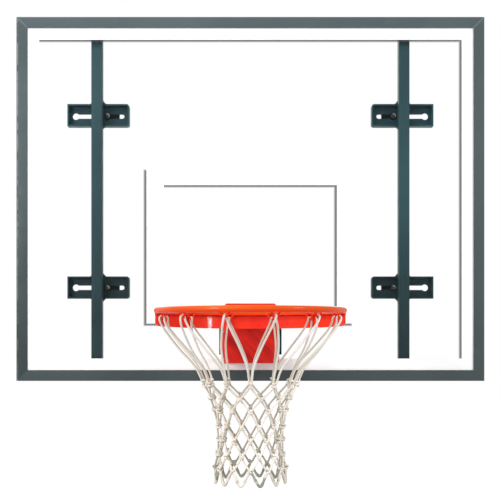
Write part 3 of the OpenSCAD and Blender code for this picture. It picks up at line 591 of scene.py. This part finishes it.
def paneGlass():
    # clear glass with a hint of green, faint smears, and a painted shadow: the soft grey edge that the white lines
    # would throw on it
    f = Finish("paneGlass")
    x, y, z = f.parts(f.place())

    def band(halfX, halfZ, line, midZ, dx, dz, soft):
        # 1 within a rectangular line: inside the outer rectangle and outside the inner one
        ax, az = (x - dx).size(), (z - (midZ + dz)).size()
        inOut = f.ease((ax - halfX).largest(az - halfZ), -soft, soft, 1.0, 0.0)
        inIn = f.ease((ax - (halfX - line)).largest(az - (halfZ - line)), -soft, soft, 1.0, 0.0)
        return inOut * (1 - inIn)

    edges = []
    for halfX, halfZ, line, midZ in ((0.3048, 0.2286, 0.0508, -0.1365), (0.67105, 0.51865, 0.0508, 0.0)):
        paintedShadow = band(halfX, halfZ, line, midZ, -0.0078, -0.0064, 0.0034)
        drawn = band(halfX, halfZ, line, midZ, 0.0, 0.0, 0.0003)
        edges.append((paintedShadow - drawn).largest(0.0))
    front = y.below(-0.0715)
    shade = edges[0].largest(edges[1]) * front
    smear = f.ease(f.noise(5, 6, 0.65), 0.55, 0.85)
    base = f.colours(f.ease(shade, 0.0, 0.05), (0.93, 0.965, 0.955, 1), (0.05, 0.05, 0.055, 1))
    return f.finish(Base_Color=base, Alpha=shade * 0.85 + smear * 0.006 + 0.004,
                    Roughness=smear * 0.12 + 0.03, IOR=1.5, Specular_IOR_Level=0.3)


nodePaint = {
    "glass_pane": paneGlass(), "border_marking": lineFilm(), "glazing_gasket": blackRubber,
    "corner_keys": castKey, "corner_screws": steel, "upright_plugs": castKey, "upright_bolts": steel,
    "upright_screws": steel, "upright_pads": blackRubber, "slot_blocks": blackPlastic,
    "mounting_washers": blackPlastic, "front_rubber_pad": blackRubber,
    "rear_rubber_pad": blackRubber, "rear_plate": bracketCoat, "glass_bushings": nylon, "goal_bolts": steel,
    "goal_washers": steel, "goal_nuts": steel, "back_plate": plateGloss,
    "cover_screws": steel, "pivot_pin": steel, "pin_clips": darkSteel, "stop_studs": steel,
    "stop_washers": steel, "stop_nuts": steel, "carrier": redGloss, "pivot_bushes": bronze,
    "upper_left_bracket": bracketCoat, "upper_right_bracket": bracketCoat,
    "lower_left_bracket": bracketCoat, "lower_right_bracket": bracketCoat,
}
nodePaint["target_marking"] = nodePaint["border_marking"]
print("finishes mixed")


# Frame members: the extrusion's outline carried along each side, cut to a mitre

frameBar = {
    "face": 0.03175,
    "depth": 0.0508,
    "lip": 0.003,
    "pocket": 0.013,  # depth of the glass pocket's floor from the outer edge
    "pocketEnd": 0.01905,
    "corner": 0.0010,
    "rear": 0.0016,
    "mitre": 0.00035,
    "frontY": -0.0762,
}


def roundedOutline(corners, radii, cuts=5):
    # each corner becomes an arc that starts and ends its radius away along both sides
    corners = np.asarray(corners, dtype=float)
    radii = np.asarray(radii, dtype=float)[:, None, None]
    before = unit(np.roll(corners, 1, axis=0) - corners)[:, None]
    after = unit(np.roll(corners, -1, axis=0) - corners)[:, None]
    t = np.linspace(0, 1, cuts)[None, :, None]
    start, end = corners[:, None] + radii * before, corners[:, None] + radii * after
    arc = (1 - t) ** 2 * start + 2 * t * (1 - t) * corners[:, None] + t ** 2 * end
    return arc.reshape(-1, 2)


def frameSide(name, half, reach, turn, paint, node):
    # half is from the board's middle to this side's outer edge, reach is half the side's length;
    # u goes inward from the outer edge and v back from the front; the mitre makes the length fall with u
    b = frameBar
    outline = roundedOutline(
        [(0, 0), (b["face"], 0), (b["face"], b["lip"]), (b["pocket"], b["lip"]),
         (b["pocket"], b["pocketEnd"]), (b["face"], b["pocketEnd"]), (b["face"], b["depth"]), (0, b["depth"])],
        [b["corner"], b["corner"], 0.0004, 0.0004, 0.0004, 0.0006, b["rear"], b["rear"]])
    middle = np.array([b["face"] / 2, b["depth"] / 2])
    drawn = outline + unit(middle - outline) * b["mitre"]  # the very end is drawn in, so the mitre shows as a fine line
    rows = []
    for way in (-1, 1):
        ends = [(drawn, 0.00003), (outline, b["mitre"] * 1.6)]
        for shape, back in (ends if way < 0 else ends[::-1]):
            rows.append(np.stack([way * (reach - shape[:, 0] - back), b["frontY"] + shape[:, 1],
                                  half - shape[:, 0]], axis=1))
    grid = np.array(rows)
    angle = math.radians(turn)
    x, z = grid[..., 0].copy(), grid[..., 2].copy()
    grid[..., 0] = x * math.cos(angle) + z * math.sin(angle)
    grid[..., 2] = -x * math.sin(angle) + z * math.cos(angle)
    points, faces = tubeMesh([grid])
    return layMesh(name, points, faces, paint, "board", [node], sharp=30)


frameSide("topRail", 0.5334, 0.6858, 0, frameTopShading, "frame_top_rail")
frameSide("bottomRail", 0.5334, 0.6858, 180, frameLowShading, "frame_bottom_rail")
frameSide("leftStile", 0.6858, 0.5334, -90, frameLeftShading, "frame_left_stile")
frameSide("rightStile", 0.6858, 0.5334, 90, frameRightShading, "frame_right_stile")

upright = {"width": 0.03175, "corner": 0.0035, "x": 0.454025, "y": -0.041275, "half": 0.50165}


def uprightTube(name, way, node):
    # rounded square outline carried straight up
    u = upright
    h = u["width"] / 2
    outline = roundedOutline([(-h, -h), (h, -h), (h, h), (-h, h)], [u["corner"]] * 4, 7)
    z = np.array([-u["half"], u["half"]])
    grid = np.stack([np.broadcast_to(outline[None, :, 0] + way * u["x"], (2, len(outline))),
                     np.broadcast_to(outline[None, :, 1] + u["y"], (2, len(outline))),
                     np.broadcast_to(z[:, None], (2, len(outline)))], axis=-1)
    points, faces = tubeMesh([grid])
    return layMesh(name, points, faces, tealCoat, "board", [node], sharp=30)


bracketRise = 0.257175  # half the height between the upper and the lower brackets

uprightTube("leftUpright", -1, "left_upright")
uprightTube("rightUpright", 1, "right_upright")
print("frame and uprights built")


# Ring, band and rod

ringBar = {"turns": 220, "sides": 36}
t = np.linspace(0, 360, ringBar["turns"], endpoint=False)
line = aroundHoop(np.full(len(t), hoop["radius"]), t, np.full(len(t), hoop["bar"]))
grid = tubeGrid(line, np.array([0, 0, 1.0]), hoop["bar"], ringBar["sides"], True)
points, faces = tubeMesh([grid], True)
layMesh("hoopBar", points, faces, orangeGloss, "ring_body", ["ring"], sharp=180)

band = {
    "inner": 0.23644,
    "outer": 0.24124,
    "top": 0.01603,
    "bottom": 0.0525,
    "rise": 0.0075,  # how much higher the bottom is at the sides
    "half": 93,
    "round": 0.058,  # length and height of the curve at both lower ends
    "roundHeight": 0.011,
    "edge": 0.0008,
}


def bandGrid():
    # upright rounded rectangle carried round the rear; its bottom follows a tilted plane, and near both
    # ends it rises along a quarter of an ellipse
    b = band
    reach = math.radians(b["half"]) * b["inner"]
    s = np.concatenate([-reach + b["round"] * (1 - np.cos(np.linspace(0, np.pi / 2, 15))),
                        np.linspace(-reach + b["round"], reach - b["round"], 120)[1:-1],
                        reach - b["round"] * (1 - np.cos(np.linspace(np.pi / 2, 0, 15)))])
    near = np.clip((b["round"] - (reach - np.abs(s))) / b["round"], 0, 1)
    plane = b["bottom"] - b["rise"] * (1 - np.cos(s / b["inner"]))
    turnIn = b["rise"] * (1 - math.cos((reach - b["round"]) / b["inner"]))
    curve = b["bottom"] - turnIn - b["roundHeight"] * (1 - np.sqrt(1 - near ** 2))
    bottom = np.where(near > 0, np.minimum(plane, curve), plane)
    edge = b["edge"]
    thick = b["outer"] - b["inner"]
    shape = roundedOutline([(0, 0), (thick, 0), (thick, 1), (0, 1)], [edge] * 4, 4)
    radius = b["inner"] + shape[None, :, 0]
    share = shape[None, :, 1]
    depth = b["top"] + share * (bottom[:, None] - b["top"])
    angle = 180 + np.degrees(s / b["inner"])[:, None]
    return aroundHoop(np.broadcast_to(radius, depth.shape), np.broadcast_to(angle, depth.shape), depth)


points, faces = tubeMesh([bandGrid()])
layMesh("rearBand", points, faces, redGloss, "ring_body", ["rear_band"], sharp=40)

rod = {"radius": 0.22754, "depth": 0.013393, "dip": 0.014, "half": 3.6, "thick": 0.0025, "sides": 12}
t = np.arange(0, 360, 0.5)
off = (t + 15) % pitch
off = np.minimum(off, pitch - off)
drop = np.where(off < rod["half"], rod["dip"] * (0.5 + 0.5 * np.cos(np.pi * off / rod["half"])), 0)
line = aroundHoop(np.full(len(t), rod["radius"]), t, rod["depth"] + drop)
points, faces = tubeMesh([tubeGrid(line, np.array([0, 0, 1.0]), rod["thick"], rod["sides"], True)], True)
layMesh("netRod", points, faces, orangeGloss, "ring_body", ["net_rod"], sharp=180)

# Weld beads: a round bead whose thickness ripples along its length

def weldGrid(line, size, side=(0, 0, 1.0), ripple=0.0034):
    reach = np.concatenate([[0], np.cumsum(np.linalg.norm(np.diff(line, axis=0), axis=1))])
    swell = 1 + 0.13 * np.cos(2 * np.pi * reach / ripple) + 0.07 * np.sin(reach * 431 + 1.7)
    taper = np.sqrt(np.clip(np.minimum(reach, reach[-1] - reach) / size + 0.08, 0, 1))
    return tubeGrid(line, np.array(side), (size * swell * taper)[:, None], 8)


def weldArc(radius, low, high, depth, size):
    angles = np.linspace(low, high, int(math.radians(high - low) * radius / 0.0009) + 2)
    return weldGrid(aroundHoop(np.full(len(angles), radius), angles, np.full(len(angles), depth)), size)


welds = {
    "bandAngle": 91,
    "spots": 12,
    "spotAngles": (-7.5, 0.0, 7.5),
    "spotHalf": 1.5,
}
points, faces = tubeMesh([weldArc(0.2353, 180 - welds["bandAngle"], 180 + welds["bandAngle"], 0.0166, 0.0013),
                          weldArc(0.2414, 180 - welds["bandAngle"], 180 + welds["bandAngle"], 0.0157, 0.0017)])
layMesh("bandWeld", points, faces, seamCoat, "ring_body", sharp=180)
points, faces = tubeMesh([weldArc(0.2323, pitch * place + off - welds["spotHalf"], pitch * place + off + welds["spotHalf"],
                                  0.0148, 0.0014) for place in range(welds["spots"]) for off in welds["spotAngles"]])
layMesh("rodWelds", points, faces, orangeGloss, "ring_body", sharp=180)
points, faces = tubeMesh([weldArc(0.2424, 180 - 10.1, 180 + 10.1, 0.0026, 0.0022)])
layMesh("neckWeld", points, faces, redGloss, "ring_body", sharp=180)

tabWeld = {"halfWidth": 0.0163, "y": -0.0252, "low": 0.0335, "high": 0.0412, "size": 0.0021}
beads = []
for wayX in (-1, 1):
    for wayZ in (-1, 1):
        for edge in (-1, 1):
            for up in (-1, 1):
                z = np.linspace(tabWeld["low"], tabWeld["high"], 12)
                x = np.full(12, wayX * upright["x"] + edge * tabWeld["halfWidth"])
                line = np.stack([x, np.full(12, tabWeld["y"]), wayZ * bracketRise + up * z], axis=1)
                beads.append(weldGrid(line, tabWeld["size"], (0, 1.0, 0)))
points, faces = tubeMesh(beads)
layMesh("bracketWelds", points, faces, bracketCoat, "board", sharp=180)
print("ring, band, rod and welds built")


# Mounting bolts: a profile turned round the bolt's line, with a hexagon in the head and a thread behind

bolt = {
    "x": 0.428625,
    "seat": -0.0064,
    "head": 0.0095,
    "headRadius": 0.00715,
    "socket": 0.00397,
    "socketDepth": 0.005,
    "neck": 0.0048625,
    "shank": 0.0047625,
    "end": 0.030,
    "pitch": 0.00125,
    "threadDepth": 0.0006,
}


def boltGrid(x, z):
    b = bolt
    turn = np.linspace(0, 2 * np.pi, 36, endpoint=False)
    # distance to the side of a hexagon: its half width over the cosine of the angle from that side's middle
    hexagon = b["socket"] * math.cos(math.pi / 6) / np.cos((turn + np.pi / 6) % (np.pi / 3) - np.pi / 6)
    front = b["seat"] - b["head"]
    head = np.array([[front + b["socketDepth"], 0], [front + 0.0004, 0], [front, 0.0004]])
    sockets = [(y, hexagon + extra) for y, extra in head]
    rounds = [(front, b["headRadius"] - 0.0016), (front + 0.0003, b["headRadius"] - 0.0007),
              (front + 0.0009, b["headRadius"] - 0.00015), (front + 0.0016, b["headRadius"]),
              (b["seat"] - 0.0004, b["headRadius"]), (b["seat"], b["headRadius"] - 0.0004),
              (b["seat"], b["neck"]), (-0.0006, b["neck"]), (0.0, b["shank"])]
    rows = sockets + [(y, np.full(36, r)) for y, r in rounds]
    # the thread climbs one pitch each turn: a triangle wave of the place along the bolt and the angle
    along = np.arange(0.0012, b["end"] - 0.0008, b["pitch"] / 4)
    wave = np.abs(((along[:, None] / b["pitch"] + turn / (2 * np.pi)) % 1) * 2 - 1)
    rows += [(y, b["shank"] - b["threadDepth"] * w) for y, w in zip(along, wave)]
    rows.append((b["end"], np.full(36, b["shank"] - 0.0009)))
    y = np.array([row[0] for row in rows])[:, None]
    r = np.array([row[1] for row in rows])
    return np.stack([x + r * np.cos(turn), np.broadcast_to(y, r.shape), z + r * np.sin(turn)], axis=-1)


points, faces = tubeMesh([boltGrid(wayX * bolt["x"], wayZ * bracketRise) for wayX in (-1, 1) for wayZ in (-1, 1)])
layMesh("mountingBolts", points, faces, boltBlack, "board", ["mounting_bolts"], sharp=28)


# Cover: a bent sheet with round front corners, carried up between its two outlines, and a floor in it

cover = {
    "y": -0.0796,
    "z": -0.3284,
    "wall": 0.0024,
    "rearHalf": 0.0765,
    "topHalf": 0.076,
    "lowHalf": 0.070,
    "topReach": 0.088,
    "lowReach": 0.062,
    "top": -0.048,
    "low": -0.150,
    "rearTop": -0.030,
    "corner": 0.006,
    "tabEnd": 0.084,
    "tabHalf": 0.007,
    "tabs": (-0.060, -0.140),
}


def coverPath(wall, corner):
    # half of the width and share of the reach along the sheet, from the rear left round to the rear right
    c = cover
    half, reach = (c["topHalf"] + c["lowHalf"]) / 2, (c["topReach"] + c["lowReach"]) / 2
    outline = roundedOutline([(-c["rearHalf"] + wall, 0), (-half + wall, reach - wall),
                              (half - wall, reach - wall), (c["rearHalf"] - wall, 0)],
                             [0.0001, corner, corner, 0.0001], 7)[6:22]
    side = c["rearHalf"] - wall
    first, last = np.array([[-side, 0.0]]), np.array([[side, 0.0]])
    path = np.vstack([first, outline, last])
    share = path[:, 1] / reach
    width = path[:, 0] / (c["rearHalf"] + (half - c["rearHalf"]) * share)
    return width, share


def coverRows(width, share, rises):
    # each point climbs from the cover's low edge to its top edge, which falls from the rear to the front
    c = cover
    topEdge = c["rearTop"] + (c["top"] - c["rearTop"]) * share
    z = c["low"] + rises[:, None] * (topEdge - c["low"])
    climb = (z - c["low"]) / (c["top"] - c["low"])
    half = c["lowHalf"] + (c["topHalf"] - c["lowHalf"]) * climb
    reach = c["lowReach"] + (c["topReach"] - c["lowReach"]) * climb
    x = width * (c["rearHalf"] + (half - c["rearHalf"]) * share)
    return np.stack([x, c["y"] - reach * share, c["z"] + z], axis=-1)


def coverSheet():
    c = cover
    rises = np.concatenate([[0, 0.006], np.linspace(0.03, 0.97, 8), [0.993, 1.0]])
    outer = coverRows(*coverPath(0.0, c["corner"]), rises)
    inner = coverRows(*coverPath(c["wall"], c["corner"] - c["wall"]), rises)
    middle = (outer + inner) / 2
    for grid in (outer, inner):
        grid[[0, -1]] += (middle - grid)[[0, -1]] * 0.45  # both edges of the sheet are eased
    grid = np.concatenate([outer, inner[:, ::-1]], axis=1)
    rows, columns = grid.shape[:2]
    half = columns // 2
    j = np.arange(half - 1)
    rim = np.stack([j, columns - 1 - j, columns - 2 - j, j + 1], axis=1)
    top = rim[:, ::-1] + (rows - 1) * columns
    return grid.reshape(-1, 3), [gridFaces(rows, columns, False, True), rim, top]


def slab(outline, near, far):
    # an outline in two directions carried from near to far, with its edges eased by drawing both ends in
    middle = outline.mean(axis=0)
    drawn = outline + unit(middle - outline) * 0.0005
    return [(drawn, near), (outline, near + 0.0004), (outline, far - 0.0004), (drawn, far)]


points, faces = coverSheet()
shells = []
width, share = coverPath(0.0007, cover["corner"])
floorRows = coverRows(width, share, np.array([0.002, 0.021]))
shells.append(floorRows)
for wayX in (-1, 1):
    for height in cover["tabs"]:
        box = roundedOutline([(0.0753, -cover["tabHalf"]), (cover["tabEnd"], -cover["tabHalf"]),
                              (cover["tabEnd"], cover["tabHalf"]), (0.0753, cover["tabHalf"])], [0.0002, 0.003, 0.003, 0.0002])
        rows = [np.stack([wayX * shape[:, 0], np.full(len(shape), cover["y"] - reach),
                          cover["z"] + height + shape[:, 1]], axis=1)
                for shape, reach in slab(box, 0.0, cover["wall"])]
        rows = np.array(rows)
        shells.append(rows if wayX > 0 else rows[:, ::-1])
extraPoints, extraFaces = tubeMesh(shells)
extraFaces = [f + len(points) for f in extraFaces]
layMesh("coverShell", np.vstack([points, extraPoints]), faces + extraFaces, coverGloss, "board",
        ["front_cover"], sharp=32)
print("bolts and cover built")


# Springs: a round wire wound in a helix, with closed flat ends

spring = {"x": 0.022, "y": -0.0796, "z": -0.4404, "radius": 0.01275, "wire": 0.00225, "length": 0.0454, "turns": 4}


def springGrid(way):
    # the first and the last turn climb by one wire, so they lie closed, and the turns between climb evenly
    t = np.linspace(0, 1, 260)
    climb = np.interp(t, [0, 0.25, 0.75, 1], [0, 0.115, 0.885, 1])
    turn = 2 * np.pi * spring["turns"] * t
    rise = 0.0003 + spring["wire"] + climb * (spring["length"] - 2 * spring["wire"])
    line = np.stack([way * spring["x"] + spring["radius"] * np.cos(turn), spring["y"] - rise,
                     spring["z"] + spring["radius"] * np.sin(turn)], axis=1)
    return tubeGrid(line, np.array([0, 1.0, 0]), spring["wire"], 10)


points, faces = tubeMesh([springGrid(-1), springGrid(1)])
springs = layMesh("springPair", points, faces, darkSteel, "board", ["springs"], sharp=180)
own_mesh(springs)
print("springs wound")


# Paint the nodes that keep their shape from the construction

for name, paint in nodePaint.items():
    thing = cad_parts[name]
    thing = bpy.data.objects[thing] if isinstance(thing, str) else thing
    if not thing.material_slots:
        thing.data.materials.append(paint)
    for slot in thing.material_slots:
        slot.material = paint
print("nodes painted")


# Stage: a pale floor at the real height below the ring, a white world, and soft lamps

stageSettings = {
    "floorZ": -3.38,
    "floorHalf": 40.0,
    "worldLevel": 0.52,
}


def paleFloor():
    f = Finish("paleFloor")
    seen = f.node("ShaderNodeLightPath", out=0)
    glossy = f.node("ShaderNodeLightPath", out=3)
    through = f.node("ShaderNodeLightPath", out=6)
    look = seen.largest(glossy).largest(through)
    matt = f.node("ShaderNodeBsdfDiffuse", None,
                  {"Color": f.colours(f.ease(f.noise(2.0, 3), 0.3, 0.7), (0.9, 0.9, 0.9, 1), (0.88, 0.88, 0.88, 1))})
    glow = f.node("ShaderNodeEmission", None, {"Color": (1, 1, 1, 1), "Strength": look * 0.62})
    both = f.node("ShaderNodeAddShader", None, {0: matt, 1: glow})
    f.tree.links.new(both.socket, f.outlet.inputs[0])
    return f.material


half = stageSettings["floorHalf"]
floorMesh = bpy.data.meshes.new("floor")
floorMesh.from_pydata([(-half, -half, stageSettings["floorZ"]), (half, -half, stageSettings["floorZ"]),
                       (half, half, stageSettings["floorZ"]), (-half, half, stageSettings["floorZ"])],
                      [], [(0, 1, 2, 3)])
floorMesh.materials.append(paleFloor())
floor = bpy.data.objects.new("floor", floorMesh)
bpy.context.scene.collection.objects.link(floor)

world = bpy.data.worlds.new("studio")
bpy.context.scene.world = world
world.use_nodes = True
tree = world.node_tree
tree.nodes.clear()
path = tree.nodes.new("ShaderNodeLightPath")
seen = Wire(tree, path.outputs["Is Camera Ray"])
glossy = Wire(tree, path.outputs["Is Glossy Ray"])
through = Wire(tree, path.outputs["Is Transmission Ray"])
white = seen.largest(glossy).largest(through)
level = stageSettings["worldLevel"]
background = tree.nodes.new("ShaderNodeBackground")
background.inputs["Color"].default_value = (1, 1, 1, 1)
tree.links.new((white * (1 - level) + level).socket, background.inputs["Strength"])
outlet = tree.nodes.new("ShaderNodeOutputWorld")
tree.links.new(background.outputs[0], outlet.inputs[0])

lamps = {
    "front": {"at": (-2.05, -2.75, 0.35), "to": (0, -0.1, -0.1), "size": (0.8, 0.6), "watts": 36},
    "high": {"at": (-0.70, -3.0, 2.15), "to": (0, -0.1, -0.1), "size": (0.8, 0.6), "watts": 14},
    "key": {"at": (2.74, -1.84, 1.66), "to": (0, -0.1, -0.1), "size": (0.7, 0.4), "watts": 28},
    "fill": {"at": (-1.70, -1.99, 2.55), "to": (0, -0.1, -0.1), "size": (1.2, 0.4), "watts": 44},
    "strip": {"at": (2.30, -2.02, -0.34), "to": (-0.11, -0.24, -0.36), "size": (0.3, 0.09), "watts": 12},
    "rear": {"at": (-1.4, 2.6, 1.8), "to": (0, 0, 0), "size": (2.0, 2.0), "watts": 30},
}
for name, lamp in lamps.items():
    light = bpy.data.lights.new(name, "AREA")
    light.shape = "RECTANGLE"
    light.size, light.size_y = lamp["size"]
    light.energy = lamp["watts"]
    thing = bpy.data.objects.new(name, light)
    at, to = np.array(lamp["at"]), np.array(lamp["to"])
    aim = unit(to - at)
    thing.location = at
    thing.rotation_euler = (math.acos(-aim[2]), 0, math.atan2(aim[1], aim[0]) - math.pi / 2)
    bpy.context.scene.collection.objects.link(thing)

bpy.context.scene.view_settings.view_transform = "Standard"
print("stage and lamps set")
